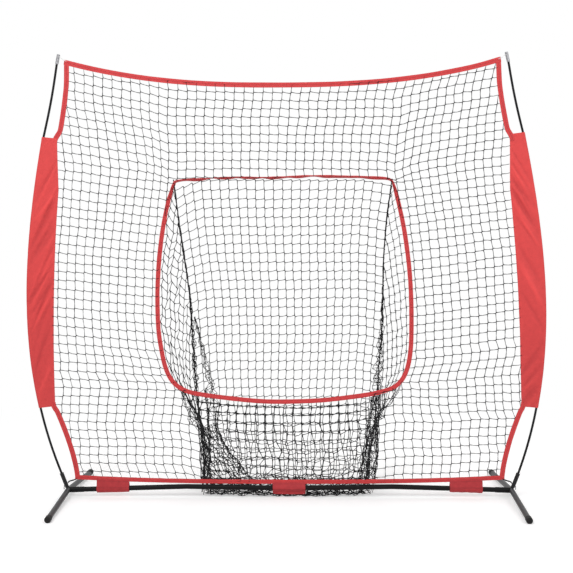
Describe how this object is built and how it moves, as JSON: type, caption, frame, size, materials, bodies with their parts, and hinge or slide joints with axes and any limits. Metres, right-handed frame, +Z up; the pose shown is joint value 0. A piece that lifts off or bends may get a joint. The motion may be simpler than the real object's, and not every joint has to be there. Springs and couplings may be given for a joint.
{
  "type": "pitching target net",
  "caption": "Free-standing pitching target net: square mesh between sprung poles on a steel base, with a strike-zone opening and a pocket that catches the balls.",
  "frame": {"origin": "on the floor, midway between the four feet, in the net's plane", "axes": "+X to the right as the pitcher sees the net, +Y away from the pitcher into the pocket, +Z up"},
  "size_m": [2.5124, 0.949, 2.1384],
  "materials": {
    "black_paint": "gloss black paint",
    "grey_paint": "satin dark grey paint",
    "zinc_steel": "zinc plated",
    "cap_rubber": "matte moulded",
    "tip_aluminium": "satin turned",
    "fibreglass": "smooth pultruded rod",
    "red_cloth": "coated oxford cloth",
    "red_binding": "folded woven binding",
    "red_tab": "coated oxford cloth, sewn",
    "black_twine": "knotted polyester twine",
    "white_cord": "braided cord",
    "bungee_cord": "braided cover over rubber"
  },
  "bodies": {
    "net_and_frame": {"crossbar_left": "black_paint", "crossbar_right": "black_paint", "crossbar_spigot": "zinc_steel", "corner_sleeve_left": "black_paint", "corner_sleeve_right": "black_paint", "leg_tube_left": "grey_paint", "leg_tube_right": "grey_paint", "pole_socket_left": "black_paint", "pole_socket_right": "black_paint", "foot_caps": "cap_rubber", "button_spring_left": "zinc_steel", "button_spring_right": "zinc_steel", "button_spring_middle": "zinc_steel", "pole_foot_left": "tip_aluminium", "pole_foot_right": "tip_aluminium", "pole_1_left": "fibreglass", "pole_2_left": "fibreglass", "pole_3_left": "fibreglass", "pole_4_left": "fibreglass", "pole_1_right": "fibreglass", "pole_2_right": "fibreglass", "pole_3_right": "fibreglass", "pole_4_right": "fibreglass", "pole_ferrules_left": "zinc_steel", "pole_ferrules_right": "zinc_steel", "pole_tip_left": "tip_aluminium", "pole_tip_right": "tip_aluminium", "corner_loop_left": "white_cord", "corner_loop_right": "white_cord", "bungee_left": "bungee_cord", "bungee_right": "bungee_cord", "corner_hook_left": "black_paint", "corner_hook_right": "black_paint", "border_top": "red_binding", "border_bottom": "red_binding", "border_upper_left": "red_binding", "border_upper_right": "red_binding", "border_lower_left": "red_binding", "border_lower_right": "red_binding", "pole_sleeve_left": "red_cloth", "pole_sleeve_right": "red_cloth", "zone_binding_top": "red_binding", "zone_binding_left": "red_binding", "zone_binding_right": "red_binding", "zone_binding_bottom": "red_binding", "net_top": "black_twine", "net_left": "black_twine", "net_right": "black_twine", "net_bottom": "black_twine", "pocket_back": "black_twine", "pocket_left": "black_twine", "pocket_right": "black_twine", "pocket_front": "black_twine", "pocket_floor": "black_twine", "bar_tabs": "red_tab"},
    "left_button": {"snap_button_left": "zinc_steel"},
    "right_button": {"snap_button_right": "zinc_steel"},
    "middle_button": {"snap_button_middle": "zinc_steel"}
  },
  "joints": [
    {"name": "left_button_press", "type": "slide", "parent": "net_and_frame", "child": "left_button", "axis": [0, 0, -1], "range_m": [0, 0.0043], "stiffness_N_per_m": 1500, "springref_m": -0.001, "deforming": ["button_spring_left"]},
    {"name": "right_button_press", "type": "slide", "parent": "net_and_frame", "child": "right_button", "axis": [0, 0, -1], "range_m": [0, 0.0043], "stiffness_N_per_m": 1500, "springref_m": -0.001, "deforming": ["button_spring_right"]},
    {"name": "middle_button_press", "type": "slide", "parent": "net_and_frame", "child": "middle_button", "axis": [0, 0, 1], "range_m": [0, 0.0043], "stiffness_N_per_m": 1500, "springref_m": -0.001, "deforming": ["button_spring_middle"]}
  ]
}
